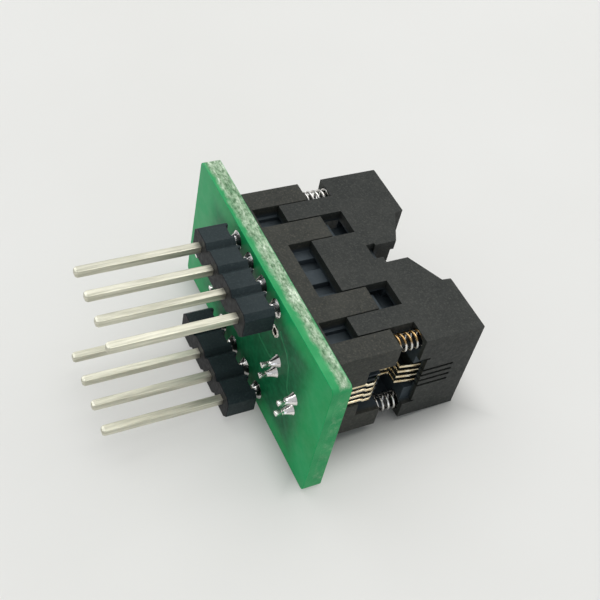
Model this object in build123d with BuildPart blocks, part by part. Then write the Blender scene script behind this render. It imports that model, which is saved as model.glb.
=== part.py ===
from build123d import *
import os

os.makedirs("parts", exist_ok=True)

# Programming adapter: an open-top spring-loaded chip socket on a small circuit
# board, with two rows of long square pins under the board.
# Frame: +Z up out of the socket, X along the board, Y across it. The part
# stands on its pin tips, so z = 0 is the tip plane and x = y = 0 is the middle
# of the board. Sizes are in millimetres.

# Circuit board
board_length = 25.2
board_width = 12.9
board_thickness = 1.6
board_corner = 0.45

# Header pins, four to a row on a 2.54 grid
pin_pitch = 2.54
row_spacing = 10.16
pins_per_row = 4
pin_side = 0.64
pin_reach = 13.3
pin_tip_length = 0.2
pin_tip_side = 0.46
pin_tail_short = 0.1
pin_field_shift = -0.6
pin_hole_diameter = 1.02

# Header plastic
header_side = 2.54
header_chamfer = 0.45
header_standoff = 0.7
header_relief_width = 1.15
header_relief_depth = 0.25

# Spare plated hole
spare_hole_diameter = 0.7
spare_hole_x = 3.83
spare_hole_y = -3.12

# Solder
pin_solder_height = 0.5
pin_solder_radius = 0.8
pin_solder_neck = 0.52
lead_solder_height = 0.85
lead_solder_radius = 0.56
lead_solder_neck = 0.26

# Socket outline and heights above the board
socket_length = 19.0
socket_width = 9.75
floor_height = 1.05
post_height = 6.2
tongue_height = 6.4
skirt_seat_height = 2.3
end_wall_height = 3.9
core_height = 5.2
cover_bottom = 8.4
cover_top = 13.87
travel = 1.9
slide_gap = 0.1

# Socket side walls, measured along X from the middle
wall_depth = 1.1
tongue_start = 2.95
tongue_end = 5.35
post_start = 7.48
post_inner_y = 2.78
skirt_bottom = 4.35
leg_bottom = 3.45
barb_height = 0.75
barb_reach = 0.42
barb_inset = 0.25
catch_gap = 0.05
inner_tongue_height = 7.3
inner_tongue_depth = 0.8
core_pocket_x = 1.35
core_pocket_width = 1.2
core_pocket_height = 2.4
core_pocket_depth = 0.6

# End windows, and the comb that keeps the contacts apart behind them
end_wall_thickness = 0.55
contact_window = 1.3
sill_height = 0.6
comb_start = 6.6
comb_end = 8.85
comb_height = 5.6

# Contacts, four at each end, formed from thin strip
contact_pitch = 0.65
contacts_per_end = 4
contact_width = 0.26
contact_strip = 0.16
contact_slot = 0.36
contact_clearance = 0.05
lead_inner_x = 5.1
lead_outer_x = 8.42
lead_width = 0.34
lead_below_board = 1.4
lead_hole_diameter = 0.6
riser_jog = 0.1
jog_low = 4.1
jog_high = 4.75
bow_high = 6.3
bow_x = 7.5
bow_steps = 4
beam_height = 7.6
tip_x = 3.1
tip_slope = 0.75
tip_knee = 0.3
tip_knee_drop = 0.35
tip_gap = 0.15
lever_foot_x = 8.52
lever_x = 8.8
lever_bend = 9.4
lever_top = 10.3

# Chip seat
nest_half_x = 2.25
nest_half_y = 1.6
nest_floor = 3.9
shelf_half_x = 3.6
shelf_height = 4.4
guide_half_x = 3.5
guide_outer_y = 2.4
guide_height = 6.9
guide_slope = 0.7

# Cover opening, press towers and the V cut across them
opening_half_x = 4.05
opening_half_y = 2.6
tower_edge_x = 4.15
tower_step_x = 4.05
tower_step = 12.98
slope_foot_x = 1.0
slope_foot = 11.4
slope_lip_y = 3.9
slope_drop = 0.33
notch_floor = 9.4
notch_relief_low = 8.6
notch_relief_start = -1.2
notch_relief_end = 0.4
notch_relief_depth = 0.9
lever_room_half_y = 1.6
lever_room_end = 8.95
lever_room_top = 12.6
beam_room_top = 9.8
cam_x = 8.2
cam_height = 10.6
cam_foot_x = 7.2
end_slot_width = 0.26
end_slot_high = 12.06
end_edge = 9.2
end_slit_near_y = 2.34
end_slit_far_y = 2.9
end_slit_width = 0.22
end_slit_top = 9.45
curtain_bottom = 7.25
cover_edge_break = 0.12

# Springs
spring_diameter = 1.6
spring_wire = 0.22
spring_pitch = 0.52
spring_x = 8.28
spring_y = 3.9
spring_bore_clearance = 0.05
spring_roof = 12.7
spring_end_gap = 0.03
peg_diameter = 0.8
peg_height = 0.9
chords_per_turn = 8

# Derived positions
board_low = pin_reach
board_high = pin_reach + board_thickness
half_length = socket_length / 2
half_width = socket_width / 2
core_half_y = half_width - wall_depth
blade_inner_y = core_half_y + slide_gap
leg_start = tongue_end + slide_gap
leg_end = post_start - slide_gap
skirt_half = tongue_start - slide_gap
barb_width = leg_end - leg_start - 2 * barb_inset
barb_tip_y = core_half_y - barb_reach + slide_gap
curtain_outer_y = core_half_y - inner_tongue_depth - slide_gap
groove_start = lead_inner_x - lead_width
header_high = board_low - header_standoff
header_low = header_high - header_side
seat = board_high
pin_xs = [pin_field_shift + (i - (pins_per_row - 1) / 2) * pin_pitch for i in range(pins_per_row)]
rows = {"front": -row_spacing / 2, "back": row_spacing / 2}
contact_ys = [(i - (contacts_per_end - 1) / 2) * contact_pitch for i in range(contacts_per_end)]
spring_seat = seat + post_height
spring_top = seat + spring_roof - spring_end_gap
spring_length = spring_top - spring_seat

# Solder leads leave the socket in two staggered columns at each end
lead_positions = {
    (end, i): (end * (lead_inner_x if i % 2 == 0 else lead_outer_x), end * y)
    for end in (-1, 1)
    for i, y in enumerate(contact_ys)
}


def strip_outline(path, width):
    """Closed outline of a flat strip of even width along an open path, with mitred bends."""
    points = [Vector(*p) for p in path]
    left = []
    right = []
    for k, point in enumerate(points):
        before = (point - points[k - 1]).normalized() if k > 0 else None
        after = (points[k + 1] - point).normalized() if k < len(points) - 1 else None
        along = before + after if before and after else before or after
        normal = Vector(-along.Y, along.X).normalized()
        edge_normal = Vector(-(after or before).Y, (after or before).X)
        reach = width / 2 / normal.dot(edge_normal)
        left.append(point + normal * reach)
        right.append(point - normal * reach)
    return [(p.X, p.Y) for p in left + right[::-1]]


def solder_cone(x, y, foot_radius, neck_radius, height, core_x, core_y):
    """Twelve-sided cone of solder under the board, around a rectangular lead."""
    with BuildPart() as cone:
        with BuildSketch(Plane.XY.offset(board_low - height)):
            with Locations((x, y)):
                RegularPolygon(neck_radius, 12)
                Rectangle(core_x, core_y, mode=Mode.SUBTRACT)
        with BuildSketch(Plane.XY.offset(board_low)):
            with Locations((x, y)):
                RegularPolygon(foot_radius, 12)
                Rectangle(core_x, core_y, mode=Mode.SUBTRACT)
        loft(ruled=True)
    return cone.part


# Circuit board with its pin holes, lead holes and one spare plated hole
with BuildPart() as pcb:
    with BuildSketch(Plane.XY.offset(board_low)):
        RectangleRounded(board_length, board_width, board_corner)
        with Locations(*[(x, y) for x in pin_xs for y in rows.values()]):
            RegularPolygon(pin_hole_diameter / 2, 12, mode=Mode.SUBTRACT)
        with Locations(*lead_positions.values()):
            RegularPolygon(lead_hole_diameter / 2, 12, mode=Mode.SUBTRACT)
        with Locations((spare_hole_x, spare_hole_y)):
            Circle(spare_hole_diameter / 2, mode=Mode.SUBTRACT)
    extrude(amount=board_thickness)
pcb.part.label = "pcb"
export_step(pcb.part, "parts/pcb.step")

# Header plastic: four octagonal cells in a row, each with a square pin hole
for row, y in rows.items():
    with BuildPart() as header:
        with BuildSketch(Plane.XY.offset(header_low)) as cells:
            with Locations(*[(x, y) for x in pin_xs]):
                Rectangle(pin_pitch, header_side)
            chamfer(cells.vertices(), header_chamfer)
            # The notches between the cells
            with Locations(*[(x + pin_pitch / 2, y + s * header_side / 2) for x in pin_xs[:-1] for s in (-1, 1)]):
                RegularPolygon(header_chamfer, 4, mode=Mode.SUBTRACT)
            with Locations(*[(x, y) for x in pin_xs]):
                Rectangle(pin_side, pin_side, mode=Mode.SUBTRACT)
        extrude(amount=header_side)
        # Shallow washing relief across each cell on the side next to the board
        with BuildSketch(Plane.XY.offset(header_high)):
            with Locations(*[(x, y) for x in pin_xs]):
                Rectangle(header_relief_width, header_side)
        extrude(amount=-header_relief_depth, mode=Mode.SUBTRACT)
    header.part.label = f"pin_header_{row}"
    export_step(header.part, f"parts/pin_header_{row}.step")

# Header pins, square with blunt pyramid tips, and the solder cone of each
for row, y in rows.items():
    for i, x in enumerate(pin_xs, start=1):
        with BuildPart() as pin:
            with BuildSketch(Plane.XY):
                with Locations((x, y)):
                    Rectangle(pin_tip_side, pin_tip_side)
            with BuildSketch(Plane.XY.offset(pin_tip_length)) as shank:
                with Locations((x, y)):
                    Rectangle(pin_side, pin_side)
            loft(ruled=True)
            extrude(shank.sketch, amount=board_high - pin_tail_short - pin_tip_length)
        pin.part.label = f"pin_{row}_{i}"
        export_step(pin.part, f"parts/pin_{row}_{i}.step")

        joint = solder_cone(x, y, pin_solder_radius, pin_solder_neck, pin_solder_height, pin_side, pin_side)
        joint.label = f"solder_pin_{row}_{i}"
        export_step(joint, f"parts/solder_pin_{row}_{i}.step")

# Socket base, drawn as one quarter and mirrored twice
with BuildPart() as base:
    # Floor, and the core that carries the chip
    with BuildSketch(Plane.XY.offset(seat)):
        Rectangle(half_length - end_wall_thickness, half_width, align=Align.MIN)
    extrude(amount=floor_height)
    with BuildSketch(Plane.XY.offset(seat)):
        Rectangle(post_start, core_half_y, align=Align.MIN)
    extrude(amount=core_height)
    # Comb in front of the core that keeps the contacts apart
    with BuildSketch(Plane.XY.offset(seat)):
        with Locations((comb_start, 0)):
            Rectangle(comb_end - comb_start, contact_window, align=Align.MIN)
    extrude(amount=comb_height)
    # Side wall in elevation: seat of the skirt, tongue, channel of the leg, corner post
    with BuildSketch(Plane.XZ.offset(-half_width)):
        with BuildLine():
            Polyline(
                (0, seat),
                (0, seat + skirt_seat_height),
                (tongue_start, seat + skirt_seat_height),
                (tongue_start, seat + tongue_height),
                (tongue_end, seat + tongue_height),
                (tongue_end, seat + floor_height),
                (post_start, seat + floor_height),
                (post_start, seat + post_height),
                (half_length, seat + post_height),
                (half_length, seat),
                close=True,
            )
        make_face()
    extrude(amount=wall_depth)
    # Inner part of the tongue, taller and standing on the core
    with BuildSketch(Plane.XZ.offset(-core_half_y)):
        with BuildLine():
            Polyline(
                (tongue_start + slide_gap, seat + floor_height),
                (tongue_start + slide_gap, seat + inner_tongue_height),
                (tongue_end - slide_gap, seat + inner_tongue_height),
                (tongue_end - slide_gap, seat + floor_height),
                close=True,
            )
        make_face()
    extrude(amount=inner_tongue_depth)
    # Corner post in plan, with the peg that centres the spring
    with BuildSketch(Plane.XY.offset(seat)):
        with Locations((post_start, post_inner_y)):
            Rectangle(half_length - post_start, half_width - post_inner_y, align=Align.MIN)
    extrude(amount=post_height)
    with BuildSketch(Plane.XY.offset(spring_seat)):
        with Locations((spring_x, spring_y)):
            RegularPolygon(peg_diameter / 2, 16)
    extrude(amount=peg_height)
    # End wall in elevation, with half of the window that shows the contacts
    with BuildSketch(Plane.YZ.offset(half_length - end_wall_thickness)):
        with BuildLine():
            Polyline(
                (0, seat),
                (0, seat + sill_height),
                (contact_window, seat + sill_height),
                (contact_window, seat + end_wall_height),
                (post_inner_y, seat + end_wall_height),
                (post_inner_y, seat),
                close=True,
            )
        make_face()
    extrude(amount=end_wall_thickness)
    # Guide wall beside the chip, sloped at the top of its inner face
    with BuildSketch(Plane.YZ):
        with BuildLine():
            Polyline(
                (nest_half_y, seat + core_height - guide_slope),
                (nest_half_y, seat + guide_height - guide_slope),
                (nest_half_y + guide_slope / 2, seat + guide_height),
                (guide_outer_y, seat + guide_height),
                (guide_outer_y, seat + core_height - guide_slope),
                close=True,
            )
        make_face()
    extrude(amount=guide_half_x)
    # Chip pocket and the shelf for the chip's leads, cut as one stepped profile
    with BuildSketch(Plane.XZ):
        with BuildLine():
            Polyline(
                (0, seat + core_height),
                (0, seat + nest_floor),
                (nest_half_x, seat + nest_floor),
                (nest_half_x, seat + shelf_height),
                (shelf_half_x, seat + shelf_height),
                (shelf_half_x, seat + core_height),
                close=True,
            )
        make_face()
    extrude(amount=-nest_half_y, mode=Mode.SUBTRACT)
    # Core wall in elevation: upright pocket behind the skirt, and the slot that holds the barb down
    with BuildSketch(Plane.XZ.offset(-core_half_y)):
        with Locations((core_pocket_x, seat + skirt_seat_height)):
            Rectangle(core_pocket_width, core_pocket_height, align=(Align.CENTER, Align.MIN))
    extrude(amount=core_pocket_depth, mode=Mode.SUBTRACT)
    with BuildSketch(Plane.XZ.offset(-core_half_y)):
        with Locations(((leg_start + leg_end) / 2, seat + floor_height)):
            Rectangle(barb_width + 2 * slide_gap, leg_bottom + barb_height + catch_gap - floor_height,
                      align=(Align.CENTER, Align.MIN))
    extrude(amount=barb_reach, mode=Mode.SUBTRACT)
    mirror(about=Plane.YZ)
    mirror(about=Plane.XZ)
    # Groove of each contact through core and comb, and the hole of its lead through the floor
    with BuildSketch(Plane.XY.offset(seat + floor_height)):
        with Locations(*[(end * (groove_start + comb_end) / 2, y) for end in (-1, 1) for y in contact_ys]):
            Rectangle(comb_end - groove_start, contact_slot)
    extrude(amount=comb_height, mode=Mode.SUBTRACT)
    with BuildSketch(Plane.XY.offset(seat)):
        with Locations(*lead_positions.values()):
            Rectangle(lead_width + 2 * contact_clearance, contact_slot)
    extrude(amount=floor_height, mode=Mode.SUBTRACT)
base.part.label = "socket_base"
export_step(base.part, "parts/socket_base.step")

# Socket cover, drawn as one quarter and mirrored twice
with BuildPart() as cover:
    # Elevation of half the cover: side rail, slope of the V cut, press tower
    with BuildSketch(Plane.XZ):
        with BuildLine():
            Polyline(
                (0, seat + cover_bottom),
                (0, seat + notch_floor),
                (slope_foot_x, seat + notch_floor),
                (slope_foot_x, seat + slope_foot),
                (tower_step_x, seat + tower_step),
                (tower_edge_x, seat + cover_top),
                (half_length, seat + cover_top),
                (half_length, seat + cover_bottom),
                close=True,
            )
        make_face()
    extrude(amount=-half_width)
    # Step down along the inner part of the slope
    with BuildSketch(Plane.XZ):
        with BuildLine():
            Polyline(
                (slope_foot_x, seat + slope_foot - slope_drop),
                (slope_foot_x, seat + slope_foot),
                (tower_step_x, seat + tower_step),
                (tower_step_x, seat + tower_step - slope_drop),
                close=True,
            )
        make_face()
    extrude(amount=-slope_lip_y, mode=Mode.SUBTRACT)
    # Elevation of the side blades: middle skirt and leg, hanging from the rail
    with BuildSketch(Plane.XZ.offset(-half_width)):
        with BuildLine():
            Polyline(
                (0, seat + notch_floor),
                (0, seat + skirt_bottom),
                (skirt_half, seat + skirt_bottom),
                (skirt_half, seat + cover_bottom),
                (leg_start, seat + cover_bottom),
                (leg_start, seat + leg_bottom),
                (leg_end, seat + leg_bottom),
                (leg_end, seat + notch_floor),
                close=True,
            )
        make_face()
    extrude(amount=half_width - blade_inner_y)
    # Barb at the foot of the leg, wedge-shaped so that it snaps in
    with BuildSketch(Plane.YZ.offset((leg_start + leg_end - barb_width) / 2)):
        with BuildLine():
            Polyline(
                (blade_inner_y, seat + leg_bottom),
                (barb_tip_y, seat + leg_bottom + barb_height / 2),
                (barb_tip_y, seat + leg_bottom + barb_height),
                (blade_inner_y, seat + leg_bottom + barb_height),
                close=True,
            )
        make_face()
    extrude(amount=barb_width)
    # Curtain between the tongues and the chip opening
    with BuildSketch(Plane.XY.offset(seat + curtain_bottom)):
        with Locations((0, opening_half_y)):
            Rectangle(leg_start, curtain_outer_y - opening_half_y, align=Align.MIN)
    extrude(amount=cover_bottom - curtain_bottom)
    # Chip opening
    with BuildSketch(Plane.XY.offset(seat + cover_bottom)):
        Rectangle(opening_half_x, opening_half_y, align=Align.MIN)
    extrude(amount=cover_top - cover_bottom, mode=Mode.SUBTRACT)
    # Room for the contact beams and levers under the tower, with the cam slope
    with BuildSketch(Plane.XZ):
        with BuildLine():
            Polyline(
                (opening_half_x, seat + cover_bottom),
                (lever_room_end, seat + cover_bottom),
                (lever_room_end, seat + lever_room_top),
                (cam_x, seat + lever_room_top),
                (cam_x, seat + cam_height),
                (cam_foot_x, seat + beam_room_top),
                (opening_half_x, seat + beam_room_top),
                close=True,
            )
        make_face()
    extrude(amount=-lever_room_half_y, mode=Mode.SUBTRACT)
    # Pocket that clears the taller inner part of the tongue
    with BuildSketch(Plane.XY.offset(seat + cover_bottom)):
        with Locations((tongue_start - slide_gap, curtain_outer_y)):
            Rectangle(tongue_end - tongue_start + 2 * slide_gap, inner_tongue_depth + 2 * slide_gap, align=Align.MIN)
    extrude(amount=inner_tongue_height + travel + 2 * slide_gap - cover_bottom, mode=Mode.SUBTRACT)
    # Spring bore
    with BuildSketch(Plane.XY.offset(seat + cover_bottom)):
        with Locations((spring_x, spring_y)):
            Circle(spring_diameter / 2 + spring_bore_clearance)
    extrude(amount=spring_roof - cover_bottom, mode=Mode.SUBTRACT)
    mirror(about=Plane.YZ)
    mirror(about=Plane.XZ)
    # Lower edge of each end wall, lifted between two slits beside the spring corners,
    # and the slots up from it, one in front of each lever
    for end in (-1, 1):
        near = -end * end_slit_near_y
        far = end * end_slit_far_y
        near_out = near - end * end_slit_width
        far_out = far + end * end_slit_width
        with BuildSketch(Plane.YZ.offset(end * half_length)):
            with BuildLine():
                Polyline(
                    (near_out, seat + cover_bottom),
                    (near_out, seat + end_slit_top),
                    (near, seat + end_slit_top),
                    (near, seat + end_edge),
                    (far, seat + end_edge),
                    (far, seat + end_slit_top),
                    (far_out, seat + end_slit_top),
                    (far_out, seat + cover_bottom),
                    close=True,
                )
            make_face()
            with Locations(*[(y, seat + (end_edge + end_slot_high) / 2) for y in contact_ys]):
                Rectangle(end_slot_width, end_slot_high - end_edge)
        extrude(amount=end * (lever_room_end - half_length), mode=Mode.SUBTRACT)
    # Pocket under the notch on both side faces
    for side in (-1, 1):
        with BuildSketch(Plane.XZ.offset(-side * half_width)):
            with Locations((notch_relief_start, seat + notch_relief_low)):
                Rectangle(notch_relief_end - notch_relief_start, notch_floor - notch_relief_low, align=Align.MIN)
        extrude(amount=side * notch_relief_depth, mode=Mode.SUBTRACT)
    # Broken outer edges of the two press faces
    top_edges = cover.faces().filter_by(Axis.Z).group_by(Axis.Z)[-1].edges()
    chamfer(top_edges, cover_edge_break)
cover.part.label = "socket_cover"
export_step(cover.part, "parts/socket_cover.step")

# Contacts: lead, foot, outer riser with a small jog, inward bow, beam with its tip, and lever
foot_z = seat + floor_height + contact_strip / 2
beam_z = seat + beam_height
riser_x = half_length - contact_clearance - contact_strip / 2
for end, side_name in ((1, "right"), (-1, "left")):
    spring_path = [
        (end * lead_inner_x, foot_z),
        (end * (riser_x - riser_jog), foot_z),
        (end * (riser_x - riser_jog), seat + jog_low),
        (end * riser_x, seat + jog_low + riser_jog),
        (end * riser_x, seat + jog_high),
    ]
    for k in range(1, bow_steps + 1):
        t = k / bow_steps
        lean = t * t * (3 - 2 * t)
        bow_point = (end * (riser_x + (bow_x - riser_x) * lean), seat + jog_high + (bow_high - jog_high) * t)
        spring_path.append(bow_point)
    spring_path.append((end * bow_x, beam_z))
    beam_path = [
        (end * tip_x, seat + shelf_height + tip_gap),
        (end * (tip_x + tip_knee), beam_z - tip_knee_drop),
        (end * (tip_x + tip_slope), beam_z),
        (end * lever_foot_x, beam_z),
        (end * lever_x, seat + lever_bend),
        (end * lever_x, seat + lever_top),
    ]
    for i, y in enumerate(contact_ys):
        x, _ = lead_positions[end, i]
        with BuildPart() as contact:
            with BuildSketch(Plane.XZ.offset(-end * y - contact_width / 2)):
                for path in (spring_path, beam_path):
                    with BuildLine():
                        Polyline(*strip_outline(path, contact_strip), close=True)
                    make_face()
                with Locations((x, board_low - lead_below_board)):
                    Rectangle(lead_width, foot_z - board_low + lead_below_board, align=(Align.CENTER, Align.MIN))
            extrude(amount=contact_width)
        contact.part.label = f"contact_{side_name}_{i + 1}"
        export_step(contact.part, f"parts/contact_{side_name}_{i + 1}.step")

        joint = solder_cone(x, end * y, lead_solder_radius, lead_solder_neck, lead_solder_height,
                            lead_width, contact_width)
        joint.label = f"solder_contact_{side_name}_{i + 1}"
        export_step(joint, f"parts/solder_contact_{side_name}_{i + 1}.step")

# Coil springs between the base posts and the cover, swept along a chorded helix
coil_radius = spring_diameter / 2 - spring_wire * 2**0.5 / 2
coil_rise = spring_length - spring_wire * 2**0.5
chord_count = round(coil_rise / spring_pitch * chords_per_turn)
for sy, depth_name in ((-1, "front"), (1, "back")):
    for sx, side_name in ((-1, "left"), (1, "right")):
        coil = [
            Vector(sx * spring_x, sy * spring_y, spring_seat + (spring_length - coil_rise) / 2 + coil_rise * k / chord_count)
            + Vector(coil_radius, 0, 0).rotate(Axis.Z, 360 * k / chords_per_turn)
            for k in range(chord_count + 1)
        ]
        with BuildPart() as spring:
            with BuildLine() as wire:
                Polyline(*coil)
            with BuildSketch(Plane(origin=coil[0], x_dir=(1, 0, 0), z_dir=wire.line % 0)):
                Rectangle(spring_wire, spring_wire)
            sweep(path=wire.line, transition=Transition.RIGHT)
        spring.part.label = f"spring_{depth_name}_{side_name}"
        export_step(spring.part, f"parts/spring_{depth_name}_{side_name}.step")
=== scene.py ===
import math
import random

import bmesh
import bpy
from mathutils import Matrix, Vector, noise


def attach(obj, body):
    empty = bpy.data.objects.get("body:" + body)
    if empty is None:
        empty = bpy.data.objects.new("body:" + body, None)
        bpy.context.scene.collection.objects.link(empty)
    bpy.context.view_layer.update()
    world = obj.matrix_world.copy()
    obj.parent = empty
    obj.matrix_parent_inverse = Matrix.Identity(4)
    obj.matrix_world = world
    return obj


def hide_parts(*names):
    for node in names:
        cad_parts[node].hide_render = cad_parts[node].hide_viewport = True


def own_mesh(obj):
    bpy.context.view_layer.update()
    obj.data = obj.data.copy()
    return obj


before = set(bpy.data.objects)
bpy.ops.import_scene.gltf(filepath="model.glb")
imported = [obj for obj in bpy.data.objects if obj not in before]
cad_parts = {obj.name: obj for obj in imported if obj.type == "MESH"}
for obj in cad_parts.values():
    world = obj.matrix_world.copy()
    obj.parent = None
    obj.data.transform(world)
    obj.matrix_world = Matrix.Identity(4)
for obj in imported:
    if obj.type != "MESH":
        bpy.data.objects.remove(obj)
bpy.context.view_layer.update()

# Programming adapter: the look of the part, built around the solids of the CAD frame. +Z
# points out of the socket, X runs along the board and z = 0 is the pin tips. Sizes are
# written in millimetres, and MM turns them into Blender's metres.
MM = 0.001

# Pinhole camera solved from the photograph: its axes and place in the part's frame, and
# its focal length in pixels of the square photograph
CAMERA_RIGHT = Vector((0.417973, -0.169804, 0.892449))
CAMERA_DOWN = Vector((0.716267, 0.665867, -0.208766))
CAMERA_FORWARD = Vector((-0.558803, 0.726490, 0.399940))
CAMERA_PLACE = Vector((47.38836, -62.86512, -16.34457)) * MM
FOCAL_PIXELS = 1038.1735
PHOTO_SIDE = 600
SENSOR_WIDTH = 36

# Board and headers, as in the CAD
BOARD_LOW = 13.3
SEAT = 14.9
HEADER_LOW = 10.06
PIN_PITCH = 2.54
PIN_SHIFT = -0.6
PINS_PER_ROW = 4
ROWS = {"front": -5.08, "back": 5.08}
SPARE_HOLE = (3.83, -3.12)

# Contacts, as in the CAD
CONTACT_PITCH = 0.65
CONTACTS_PER_END = 4
ENDS = {"right": 1, "left": -1}
LEAD_X = (5.1, 8.42)
LEAD_BELOW = 1.4

# Springs, as in the CAD
SPRING_LOW = SEAT + 6.2
SPRING_LENGTH = 6.47
SPRING_X = 8.28
SPRING_Y = 3.9
SPRING_PITCH = 0.52
COIL_RADIUS = 0.69
WIRE = 0.22

# Copper tracks that show through the solder mask on the pin side, and their section:
# place across the track, height over the board's lower face
TRACKS = (
    ((1.1, -1.2), (1.81, -0.23), (3.67, -0.09), (4.9, -0.6)),
    ((4.5, -3.9), (4.79, -3.61), (6.03, -3.0), (6.67, -2.21), (7.13, -0.18), (7.9, 0.4)),
)
TRACK_SECTION = ((-0.13, 0.02), (-0.08, -0.03), (0.08, -0.03), (0.13, 0.02))

# Lines on which the board and the cover touch the table in the photograph
TABLE_AT_BOARD = Vector((0, 6.45, 14.9))
TABLE_AT_COVER = Vector((0, 4.875, 28.77))
TABLE_HALF_SIDE = 1200

# Lamps: name, direction from the part, side, power and colour
LAMP_DISTANCE = 500
LAMPS = (
    ("key", Vector((-0.15, -1.25, 0.35)), 420, 1.3, (1.0, 0.985, 0.95)),
    ("fill", Vector((-0.6, -0.85, -0.4)), 300, 0.5, (0.97, 0.99, 1.0)),
    ("side", Vector((1.0, -0.15, 0.05)), 300, 0.28, (0.78, 0.86, 1.0)),
)


def make_camera():
    """The photograph's camera."""
    data = bpy.data.cameras.new("camera")
    data.sensor_width = SENSOR_WIDTH
    data.lens = FOCAL_PIXELS * SENSOR_WIDTH / PHOTO_SIDE
    data.clip_start = 1 * MM
    obj = bpy.data.objects.new("camera", data)
    axes = Matrix((CAMERA_RIGHT, -CAMERA_DOWN, -CAMERA_FORWARD)).transposed()
    obj.matrix_world = Matrix.Translation(CAMERA_PLACE) @ axes.to_4x4()
    bpy.context.scene.collection.objects.link(obj)
    bpy.context.scene.camera = obj


def map_range(tree, value, start, end, low, high, smooth=False):
    """Carry a value that goes from start to end over to low to high, and hold it beyond."""
    node = tree.nodes.new("ShaderNodeMapRange")
    if smooth:
        node.interpolation_type = "SMOOTHSTEP"
    for socket, number in zip(node.inputs[1:5], (start, end, low, high)):
        socket.default_value = number
    tree.links.new(value, node.inputs[0])
    return node.outputs[0]


class Shader:
    """A Principled material, with short calls for its procedural nodes."""

    def __init__(self, name, rough, metal=0.0, ior=1.5):
        self.mat = bpy.data.materials.new(name)
        self.mat.use_nodes = True
        self.tree = self.mat.node_tree
        self.bsdf = self.tree.nodes["Principled BSDF"]
        self.bsdf.inputs["Roughness"].default_value = rough
        self.bsdf.inputs["Metallic"].default_value = metal
        self.bsdf.inputs["IOR"].default_value = ior
        self.place = self.tree.nodes.new("ShaderNodeTexCoord").outputs["Object"]

    def feed(self, socket, value):
        """Give a socket a number, a colour or the output of another node."""
        if isinstance(value, (int, float)):
            socket.default_value = value
        elif isinstance(value, tuple):
            socket.default_value = (*value, 1)
        else:
            self.tree.links.new(value, socket)

    def noise(self, scale, detail=3.0, rough=0.55, stretch=(1, 1, 1), offset=(0, 0, 0)):
        """Noise whose scale counts cells per millimetre."""
        mapping = self.tree.nodes.new("ShaderNodeMapping")
        mapping.inputs["Scale"].default_value = [scale / MM * s for s in stretch]
        mapping.inputs["Location"].default_value = offset
        self.tree.links.new(self.place, mapping.inputs["Vector"])
        node = self.tree.nodes.new("ShaderNodeTexNoise")
        node.inputs["Scale"].default_value = 1.0
        node.inputs["Detail"].default_value = detail
        node.inputs["Roughness"].default_value = rough
        self.tree.links.new(mapping.outputs[0], node.inputs["Vector"])
        return node.outputs["Fac"]

    def ramp(self, value, *stops):
        """Colours along a value; each stop is a place from 0 to 1 and a colour."""
        node = self.tree.nodes.new("ShaderNodeValToRGB")
        elements = node.color_ramp.elements
        while len(elements) < len(stops):
            elements.new(0.5)
        for element, (place, colour) in zip(elements, stops):
            element.position = place
            element.color = (*colour, 1)
        self.tree.links.new(value, node.inputs[0])
        return node.outputs[0]

    def mix(self, factor, first, second, blend="MIX"):
        """The first colour at factor 0, blended with the second up to factor 1."""
        node = self.tree.nodes.new("ShaderNodeMix")
        node.data_type = "RGBA"
        node.blend_type = blend
        # Sockets 6 and 7 are the two colours
        for number, value in ((0, factor), (6, first), (7, second)):
            self.feed(node.inputs[number], value)
        return node.outputs[2]

    def math(self, operation, first, second=0.0):
        """One step of arithmetic on numbers or outputs."""
        node = self.tree.nodes.new("ShaderNodeMath")
        node.operation = operation
        self.feed(node.inputs[0], first)
        self.feed(node.inputs[1], second)
        return node.outputs[0]

    def axis(self, letter):
        """One coordinate of the point, in metres."""
        node = self.tree.nodes.new("ShaderNodeSeparateXYZ")
        self.tree.links.new(self.place, node.inputs[0])
        return node.outputs["xyz".index(letter)]

    def spread(self, value, low, high, start=0.3, end=0.7):
        """Stretch the middle of a noise over low to high."""
        return map_range(self.tree, value, start, end, low, high)

    def beyond(self, value, start, end, centre=0.0):
        """0 within start millimetres of a centre, rising smoothly to 1 at end."""
        far = self.math("ABSOLUTE", self.math("SUBTRACT", value, centre * MM))
        return map_range(self.tree, far, start * MM, end * MM, 0.0, 1.0, smooth=True)

    def colour(self, output):
        self.tree.links.new(output, self.bsdf.inputs["Base Color"])

    def roughness(self, output):
        self.tree.links.new(output, self.bsdf.inputs["Roughness"])

    def bump(self, height, strength, depth, below=None):
        """Fine relief of some millimetres' depth, over another one where below is given."""
        node = self.tree.nodes.new("ShaderNodeBump")
        node.inputs["Strength"].default_value = strength
        node.inputs["Distance"].default_value = depth * MM
        self.tree.links.new(height, node.inputs["Height"])
        if below is not None:
            self.tree.links.new(below, node.inputs["Normal"])
        self.tree.links.new(node.outputs[0], self.bsdf.inputs["Normal"])
        return node.outputs[0]


def speckled(s, dark, mid, light):
    """Fine pale speckle over slow changes of tone."""
    slow = s.ramp(s.noise(0.35), (0.3, dark), (0.7, mid))
    speckle = s.spread(s.noise(5.5, 3, 0.8), 0.0, 1.0, 0.5, 0.76)
    return s.mix(speckle, slow, light)


def moulded_skin(s, rough):
    """Uneven gloss and soft waves of a moulded face."""
    s.roughness(s.spread(s.noise(2.5, 4), rough - 0.08, rough + 0.1))
    return s.bump(s.noise(1.1, 4), 0.25, 0.03)


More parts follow.
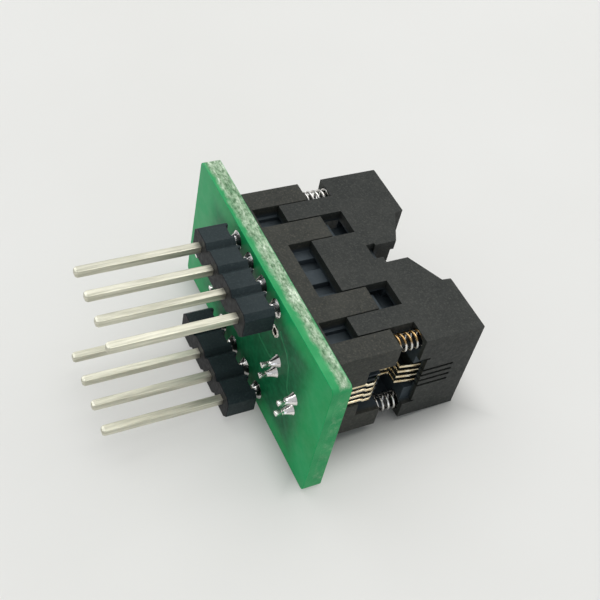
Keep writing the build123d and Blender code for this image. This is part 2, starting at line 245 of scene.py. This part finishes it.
def socket_plastic(name, dark, mid, light, rough):
    """Filled black plastic with a fine grain, and painted bluish shade inside the socket's
    recesses.
    """
    painted_recess_shade = (0.038, 0.051, 0.061)
    s = Shader(name, rough, ior=1.38)
    # 0 in the recesses, which get painted bluish shade, 1 on the outer faces and on the upper part
    # of the cover
    outer_x = s.beyond(s.axis("x"), 8.9, 9.3)
    outer_y = s.beyond(s.axis("y"), 3.8, 4.3)
    outer_z = s.beyond(s.axis("z"), SEAT + 9.4, SEAT + 9.9)
    outside = s.math("MAXIMUM", s.math("MAXIMUM", outer_x, outer_y), outer_z)
    s.colour(s.mix(outside, painted_recess_shade, speckled(s, dark, mid, light)))
    skin = moulded_skin(s, rough)
    s.bump(s.noise(12, 3, 0.65), 0.3, 0.012, skin)
    return s.mat


def header_plastic():
    """Blue-black plastic of the headers, with painted shade that makes the face the pins leave
    darkest.
    """
    rough = 0.5
    s = Shader("header_plastic", rough, ior=1.3)
    tone = speckled(s, (0.0095, 0.018, 0.021), (0.019, 0.03, 0.033), (0.034, 0.05, 0.051))
    # Painted shade: the face where the pins leave the header gets a near-black colour
    off_pin_face = s.beyond(s.axis("z"), 0.01, 0.08, centre=HEADER_LOW)
    s.colour(s.mix(off_pin_face, (0.002, 0.003, 0.006), tone))
    moulded_skin(s, rough)
    return s.mat


def plated_metal(name, low, high, rough, streak=(1, 1, 1), scale=2.0, strength=0.2, depth=0.01):
    """Plated metal with small changes of tone, drawn out along the streak."""
    s = Shader(name, rough, metal=1.0)
    s.colour(s.ramp(s.noise(scale, 4, 0.6, streak), (0.32, low), (0.68, high)))
    gloss = s.noise(scale * 1.7, 3, 0.6, streak, (3, 1, 7))
    s.roughness(s.spread(gloss, rough - 0.07, rough + 0.13))
    s.bump(s.noise(scale * 2.5, 3, 0.6, streak, (5, 2, 1)), strength, depth)
    return s.mat


def spring_steel():
    """Steel wire, with a painted warm reflection on the open side of the front right spring."""
    s = Shader("spring_steel", rough=0.22, metal=1.0)
    steel = s.ramp(s.noise(1.5, 4, 0.6), (0.32, (0.5, 0.48, 0.45)), (0.68, (0.9, 0.88, 0.85)))
    # Painted reflection: a bronze colour on the -Y side of the front right spring
    painted_warm_reflection = s.ramp(s.noise(2.5, 3, 0.6), (0.35, (0.34, 0.2, 0.07)), (0.65, (0.62, 0.42, 0.2)))
    on_open_side = s.beyond(s.axis("y"), 9.2, 9.5, centre=5.0)
    on_right = s.beyond(s.axis("x"), 8, 9, centre=-8.28)
    s.colour(s.mix(s.math("MULTIPLY", on_open_side, on_right), steel, painted_warm_reflection))
    s.roughness(s.spread(s.noise(2.6, 3, 0.6), 0.16, 0.34))
    return s.mat


def board_mask():
    """Green solder mask over thin laminate, with painted shade that darkens it between the header
    rows under the socket, and painted light that makes it paler towards the -X end."""
    s = Shader("board_mask", rough=0.42, ior=1.25)
    # Painted shade: the darker green fills the board between the header rows, under the socket
    painted_shade_green = s.ramp(s.noise(0.3, 3, 0.5), (0.3, (0.003, 0.085, 0.032)), (0.7, (0.005, 0.14, 0.05)))
    unshaded_green = s.ramp(s.noise(0.16, 3, 0.5), (0.3, (0.003, 0.29, 0.07)), (0.7, (0.01, 0.39, 0.125)))
    beside_ends = s.beyond(s.axis("x"), 7.6, 10.8)
    beside_walls = s.beyond(s.axis("y"), 4.0, 5.9)
    tone = s.mix(s.math("MAXIMUM", beside_ends, beside_walls), painted_shade_green, unshaded_green)
    # Painted light: the mask turns paler towards the -X end
    painted_light_haze = s.math("MULTIPLY", s.beyond(s.axis("x"), 17, 25, centre=12.6), 0.6)
    tone = s.mix(painted_light_haze, tone, (0.07, 0.42, 0.18))
    mottle = s.spread(s.noise(1.8), 0.0, 0.2, 0.4, 0.7)
    s.colour(s.mix(mottle, tone, (0.03, 0.42, 0.17)))
    s.roughness(s.spread(s.noise(0.8, 4), 0.36, 0.55))
    s.bump(s.noise(1.6), 0.2, 0.02)
    return s.mat


def board_track():
    """The solder mask over a copper track."""
    s = Shader("board_track", rough=0.4, ior=1.3)
    s.colour(s.ramp(s.noise(1.2), (0.3, (0.01, 0.16, 0.06)), (0.7, (0.025, 0.25, 0.1))))
    return s.mat


def board_edge():
    """Cut edge of the board: bare glass fibre in a pale mottled band along the long edges,
    which runs out before the corners, and green resin beside it."""
    s = Shader("board_edge", rough=0.6, ior=1.3)
    resin = s.ramp(s.noise(0.5, 3, 0.5), (0.3, (0.012, 0.27, 0.085)), (0.7, (0.05, 0.36, 0.13)))
    weave = s.ramp(
        s.noise(1.3, 5, 0.7, (0.5, 1.6, 1.6)),
        (0.34, (0.14, 0.28, 0.15)), (0.5, (0.32, 0.44, 0.30)), (0.66, (0.60, 0.70, 0.56)),
    )
    flecks = s.ramp(
        s.noise(3.6, 4, 0.75, (0.7, 1.3, 1.3), (4, 2, 9)),
        (0.36, (0.35, 0.48, 0.36)), (0.5, (1, 1, 1)), (0.64, (1.4, 1.35, 1.35)),
    )
    fibre = s.mix(1.0, weave, flecks, "MULTIPLY")

    # The band's ragged limits: it narrows a little towards +X and ends before the corners
    fray = s.math("SUBTRACT", s.noise(1.1, 4, 0.7, (0.6, 1, 1)), 0.5)
    ragged = s.math("MULTIPLY", fray, 0.9 * MM)
    height = s.math("ADD", s.axis("z"), ragged)
    pin_side = s.math("SUBTRACT", height, s.math("MULTIPLY", s.axis("x"), 0.02))
    socket_side = s.math("ADD", height, s.math("MULTIPLY", s.axis("x"), 0.014))
    along = s.math("ADD", s.axis("x"), s.math("MULTIPLY", ragged, 0.5))
    limits = s.math("MAXIMUM", s.beyond(pin_side, 1.15, 1.65, centre=SEAT + 0.3),
                    s.beyond(socket_side, 1.32, 1.9, centre=BOARD_LOW))
    green = s.math("MAXIMUM", limits, s.beyond(along, 12.3, 12.65))
    s.colour(s.mix(green, fibre, resin))
    s.bump(s.noise(3.0, 4, 0.65, (0.5, 2, 2.5)), 0.5, 0.05)
    return s.mat


def table_surface():
    """Pale table that glows a little away from the part, leaving a painted shadow under it, and is
    clear from underneath.
    """
    s = Shader("table", rough=0.9)
    tone = s.ramp(s.noise(0.02, 4, 0.6), (0.3, (0.775, 0.77, 0.745)), (0.7, (0.80, 0.795, 0.775)))
    s.colour(s.mix(1.0, tone, (0.575, 0.575, 0.575), "MULTIPLY"))
    # Painted shadow: the table glows only away from the part, so it stays darker under it
    beside_x = s.beyond(s.axis("x"), 8.8, 13)
    beside_z = s.beyond(s.axis("z"), 6.2, 10.5, centre=21.5)
    away_from_painted_shadow = s.math("MAXIMUM", beside_x, beside_z)
    s.feed(s.bsdf.inputs["Emission Color"], tone)
    s.feed(s.bsdf.inputs["Emission Strength"], s.math("MULTIPLY", away_from_painted_shadow, 0.4))
    clear = s.tree.nodes.new("ShaderNodeBsdfTransparent")
    side = s.tree.nodes.new("ShaderNodeNewGeometry")
    choose = s.tree.nodes.new("ShaderNodeMixShader")
    s.feed(choose.inputs[0], side.outputs["Backfacing"])
    s.feed(choose.inputs[1], s.bsdf.outputs[0])
    s.feed(choose.inputs[2], clear.outputs[0])
    s.feed(s.tree.nodes["Material Output"].inputs["Surface"], choose.outputs[0])
    return s.mat


def make_materials():
    """Every material of the part, by name."""
    return {
        "socket_plastic": socket_plastic("socket_plastic", (0.018, 0.0195, 0.0165),
                                         (0.034, 0.0345, 0.0285), (0.078, 0.073, 0.056), 0.6),
        "cover_plastic": socket_plastic("cover_plastic", (0.014, 0.0165, 0.015),
                                        (0.026, 0.028, 0.025), (0.06, 0.061, 0.052), 0.58),
        "header_plastic": header_plastic(),
        "pin_metal": plated_metal("pin_metal", (0.46, 0.45, 0.36), (0.78, 0.76, 0.64), 0.38,
                                  streak=(1.8, 1.8, 0.1), scale=2.4),
        "solder": plated_metal("solder", (0.70, 0.67, 0.65), (0.98, 0.95, 0.93), 0.14,
                               scale=1.4, strength=0.4, depth=0.05),
        "contact_metal": plated_metal("contact_metal", (0.66, 0.5, 0.26), (1.0, 0.93, 0.74), 0.2,
                                      scale=1.6),
        "spring_steel": spring_steel(),
        "circuit_board": board_mask(),
        "board_track": board_track(),
        "board_edge": board_edge(),
    }


def new_object(name, mesh, material, body, nodes=()):
    """Object on one body, in the place of the named CAD nodes."""
    obj = bpy.data.objects.new(name, mesh)
    bpy.context.scene.collection.objects.link(obj)
    if material is not None:
        mesh.materials.clear()
        mesh.materials.append(material)
    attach(obj, body)
    if nodes:
        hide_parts(*nodes)
    return obj


def mesh_from(bm, name, angle=20):
    """Finished mesh, smooth across angles up to this one and crisp across larger ones."""
    bmesh.ops.recalc_face_normals(bm, faces=bm.faces)
    mesh = bpy.data.meshes.new(name)
    bm.to_mesh(mesh)
    bm.free()
    for face in mesh.polygons:
        face.use_smooth = True
    mesh.set_sharp_from_angle(angle=math.radians(angle))
    return mesh


def worked_copy(node):
    """The CAD node's surface as clean polygons, welded and with flat areas joined."""
    bm = bmesh.new()
    bm.from_mesh(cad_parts[node].data)
    bmesh.ops.remove_doubles(bm, verts=bm.verts, dist=0.002 * MM)
    bmesh.ops.dissolve_limit(bm, angle_limit=math.radians(1), verts=bm.verts, edges=bm.edges)
    return bm


def soften(bm, width):
    """Small round on every edge that turns by more than a shallow angle."""
    least = math.radians(25)
    sharp = [e for e in bm.edges if len(e.link_faces) == 2 and e.calc_face_angle(0) > least]
    bmesh.ops.bevel(bm, geom=sharp, offset=width * MM, segments=2, profile=0.5,
                    affect="EDGES", clamp_overlap=True)


def even_normals(obj):
    """Flat faces keep their own shading next to the small bevels."""
    mod = obj.modifiers.new("normals", "WEIGHTED_NORMAL")
    mod.keep_sharp = True
    mod.weight = 100


def compass(count):
    """Unit vectors around Z, evenly spaced."""
    angles = [2 * math.pi * j / count for j in range(count)]
    return [Vector((math.cos(a), math.sin(a), 0)) for a in angles]


def bridge(bm, first, second):
    """Band of faces between two closed rings of vertices."""
    count = len(first)
    for j in range(count):
        n = (j + 1) % count
        bm.faces.new((first[j], first[n], second[n], second[j]))


def tube(name, points, radius, sides=10):
    """Closed round wire along a list of points."""
    bm = bmesh.new()
    rings = []
    normal = None
    for k, point in enumerate(points):
        ahead = points[min(k + 1, len(points) - 1)] - points[max(k - 1, 0)]
        ahead.normalize()
        if normal is None:
            normal = ahead.orthogonal().normalized()
        normal = (normal - ahead * normal.dot(ahead)).normalized()
        side = ahead.cross(normal)
        angles = [2 * math.pi * j / sides for j in range(sides)]
        spokes = [normal * math.cos(a) + side * math.sin(a) for a in angles]
        rings.append([bm.verts.new(point + spoke * radius) for spoke in spokes])
    for a, b in zip(rings, rings[1:]):
        bridge(bm, a, b)
    bm.faces.new(rings[0])
    bm.faces.new(rings[-1])
    return mesh_from(bm, name, 40)


def spring_points(x, y):
    """Coil with a closed turn at each end and even pitch between."""
    end_gap = 0.03
    steps_per_turn = 26
    low = SPRING_LOW + end_gap + WIRE / 2
    high = SPRING_LOW + SPRING_LENGTH - WIRE / 2
    closed = WIRE * 1.02
    open_rise = high - low - 2 * closed
    turns = 2 + open_rise / SPRING_PITCH
    steps = int(turns * steps_per_turn)
    points = []
    for k in range(steps + 1):
        t = turns * k / steps
        if t < 1:
            z = low + closed * t
        elif t > turns - 1:
            z = high - closed * (turns - t)
        else:
            z = low + closed + open_rise * (t - 1) / (turns - 2)
        a = 2 * math.pi * t
        offset = Vector((x + COIL_RADIUS * math.cos(a), y + COIL_RADIUS * math.sin(a), z))
        points.append(offset * MM)
    return points


def make_springs(m):
    """Four coils that stand on the base."""
    for sy, depth in ((-1, "front"), (1, "back")):
        for sx, side in ((-1, "left"), (1, "right")):
            x, y = sx * SPRING_X, sy * SPRING_Y
            name = f"spring_{depth}_{side}"
            coil = tube(name, spring_points(x, y), WIRE / 2 * MM)
            obj = new_object(name + "_coil", coil, m["spring_steel"],
                             "board_and_base", [name])
            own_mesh(obj)


def make_board(m):
    """Board with the solder mask on its faces and bare laminate on its outer edge."""
    # Upright faces beyond these belong to the outer edge, the others to holes
    edge_x, edge_y = 12.3, 6.2
    bm = worked_copy("pcb")
    for face in bm.faces:
        middle = face.calc_center_median() / MM
        outer = abs(middle.x) > edge_x or abs(middle.y) > edge_y
        face.material_index = 1 if abs(face.normal.z) < 0.5 and outer else 0
    soften(bm, 0.05)
    mesh = mesh_from(bm, "board")
    mesh.materials.append(m["circuit_board"])
    mesh.materials.append(m["board_edge"])
    even_normals(new_object("board", mesh, None, "board_and_base", ["pcb"]))


def make_refined(m):
    """Mouldings, pins and contacts: the CAD's surfaces with softened edges."""
    plan = [
        ("socket_base", 0.05, "socket_plastic", "board_and_base"),
        ("socket_cover", 0.06, "cover_plastic", "cover"),
    ]
    for row in ROWS:
        plan.append((f"pin_header_{row}", 0.05, "header_plastic", "board_and_base"))
        for i in range(PINS_PER_ROW):
            plan.append((f"pin_{row}_{i + 1}", 0.035, "pin_metal", "board_and_base"))
    for side in ENDS:
        for i in range(CONTACTS_PER_END):
            plan.append((f"contact_{side}_{i + 1}", 0.055, "contact_metal", "board_and_base"))
    for node, width, material, body in plan:
        bm = worked_copy(node)
        soften(bm, width)
        mesh = mesh_from(bm, node)
        even_normals(new_object(node + "_finish", mesh, m[material], body, [node]))


def add_lead_end(bm, x, y, low, high):
    """Tinned end of a contact's lead, as a small rounded block."""
    corners = bmesh.ops.create_cube(bm, size=1.0)["verts"]
    bmesh.ops.scale(bm, verts=corners, vec=(0.42 * MM, 0.34 * MM, (high - low) * MM))
    bmesh.ops.translate(bm, verts=corners, vec=Vector((x, y, (low + high) / 2)) * MM)
    edges = list({e for v in corners for e in v.link_edges})
    bmesh.ops.bevel(bm, geom=edges, offset=0.07 * MM, segments=3, profile=0.5, affect="EDGES")


def solder_blob(name, centre, seed, foot, neck, height, lead=0.0):
    """Fillet of solder under the board, with a wide uneven foot and a concave flank, and
    the end of a lead where lead says how far that one reaches."""
    rng = random.Random(seed)
    shift = Vector((rng.uniform(-9, 9), rng.uniform(-9, 9), rng.uniform(-9, 9)))
    x, y = centre
    levels = 9
    bm = bmesh.new()
    rings = []
    for k in range(levels + 1):
        t = k / levels
        radius = neck + (foot - neck) * (1 - t) ** 1.5
        steadiness = 0.35 + 0.65 * t if t < 0.9 else 0.7
        ring = []
        for out in compass(28):
            uneven = noise.noise(shift + out * 1.3 + Vector((0, 0, t * 1.2))) * 0.16 * foot
            middle = Vector((x, y, BOARD_LOW - height * t + uneven * 0.4 * t))
            ring.append(bm.verts.new((middle + out * (radius + uneven * steadiness)) * MM))
        rings.append(ring)
    for a, b in zip(rings, rings[1:]):
        bridge(bm, a, b)
    bm.faces.new(rings[0])
    tip = bm.verts.new(Vector((x, y, BOARD_LOW - height * 1.12)) * MM)
    last = rings[-1]
    for j, vert in enumerate(last):
        bm.faces.new((vert, last[(j + 1) % len(last)], tip))
    if lead:
        add_lead_end(bm, x, y, BOARD_LOW - lead - 0.03, BOARD_LOW - height * 0.9)
    return mesh_from(bm, name, 50)


def make_solder(m):
    """A joint for each pin and each contact's lead; the seed gives each its own shape."""
    pin_joint = {"foot": 0.8, "neck": 0.46, "height": 0.5}
    lead_joint = {"foot": 0.54, "neck": 0.24, "height": 0.85, "lead": LEAD_BELOW}
    joints = []
    for row, y in ROWS.items():
        for i in range(PINS_PER_ROW):
            x = PIN_SHIFT + (i - (PINS_PER_ROW - 1) / 2) * PIN_PITCH
            joints.append((f"solder_pin_{row}_{i + 1}", (x, y), pin_joint))
    for side, end in ENDS.items():
        for i in range(CONTACTS_PER_END):
            y = end * (i - (CONTACTS_PER_END - 1) / 2) * CONTACT_PITCH
            joints.append((f"solder_contact_{side}_{i + 1}", (end * LEAD_X[i % 2], y), lead_joint))
    for seed, (name, centre, sizes) in enumerate(joints, start=1):
        new_object(name + "_joint", solder_blob(name, centre, seed, **sizes), m["solder"],
                   "board_and_base", [name])


def make_spare_hole(m):
    """Plated barrel of the spare hole, with a tinned ring on both faces of the board."""
    hole, wall, ring = 0.32, 0.36, 0.57
    lower = [(hole, -0.04), (ring - 0.05, -0.04), (ring, 0.02), (wall, 0.03)]
    profile = [(r, BOARD_LOW + z) for r, z in lower] + [(r, SEAT - z) for r, z in lower[::-1]]
    bm = bmesh.new()
    rings = [
        [bm.verts.new((Vector((*SPARE_HOLE, z)) + out * r) * MM) for r, z in profile]
        for out in compass(40)
    ]
    for a, b in zip(rings, rings[1:] + rings[:1]):
        bridge(bm, a, b)
    new_object("spare_hole_plating", mesh_from(bm, "spare_hole_plating", 30), m["solder"],
               "board_and_base")


def make_tracks(m):
    """Copper tracks that stand up a little under the solder mask."""
    for number, path in enumerate(TRACKS, start=1):
        name = f"board_track_{number}"
        points = [Vector((*p, BOARD_LOW)) for p in path]
        bm = bmesh.new()
        rows = []
        for i, point in enumerate(points):
            ahead = points[min(i + 1, len(points) - 1)] - points[max(i - 1, 0)]
            ahead.normalize()
            side = Vector((-ahead.y, ahead.x, 0))
            rows.append([
                bm.verts.new((point + side * across + Vector((0, 0, z))) * MM)
                for across, z in TRACK_SECTION
            ])
        for a, b in zip(rows, rows[1:]):
            bridge(bm, a, b)
        bm.faces.new(rows[0])
        bm.faces.new(rows[-1])
        new_object(name, mesh_from(bm, name, 30), m["board_track"],
                   "board_and_base")


def make_stage():
    """Pale table under the part as it lies in the photograph."""
    across = Vector((TABLE_HALF_SIDE, 0, 0))
    along = (TABLE_AT_COVER - TABLE_AT_BOARD).normalized() * TABLE_HALF_SIDE
    bm = bmesh.new()
    face = bm.faces.new([
        bm.verts.new((TABLE_AT_BOARD + across * a + along * b) * MM)
        for a, b in ((-1, -1), (1, -1), (1, 1), (-1, 1))
    ])
    bm.normal_update()
    if face.normal.y > 0:
        face.normal_flip()
    mesh = bpy.data.meshes.new("table")
    bm.to_mesh(mesh)
    bm.free()
    mesh.materials.append(table_surface())
    obj = bpy.data.objects.new("table", mesh)
    bpy.context.scene.collection.objects.link(obj)


def make_world():
    """Plain cool sky, brighter over the table (-Y) than under it."""
    world = bpy.data.worlds.new("room")
    bpy.context.scene.world = world
    world.use_nodes = True
    tree = world.node_tree
    background = tree.nodes["Background"]
    background.inputs["Color"].default_value = (0.95, 0.98, 1.0, 1)
    coord = tree.nodes.new("ShaderNodeTexCoord")
    split = tree.nodes.new("ShaderNodeSeparateXYZ")
    tree.links.new(coord.outputs["Generated"], split.inputs[0])
    strength = map_range(tree, split.outputs[1], 0.5, -0.5, 0.22, 0.58, smooth=True)
    tree.links.new(strength, background.inputs["Strength"])


def make_lamps():
    """Soft square lamps that face the middle of the part."""
    target = Vector((0, 0, 14)) * MM
    for name, direction, side, power, colour in LAMPS:
        data = bpy.data.lights.new(name, "AREA")
        data.energy = power
        data.size = side * MM
        data.color = colour
        obj = bpy.data.objects.new(name, data)
        obj.location = target + direction.normalized() * LAMP_DISTANCE * MM
        obj.rotation_euler = (target - obj.location).to_track_quat("-Z", "Y").to_euler()
        bpy.context.scene.collection.objects.link(obj)


make_camera()
materials = make_materials()
make_board(materials)
make_refined(materials)
make_springs(materials)
make_solder(materials)
make_spare_hole(materials)
make_tracks(materials)
make_stage()
make_world()
make_lamps()
bpy.context.scene.view_settings.view_transform = "Standard"
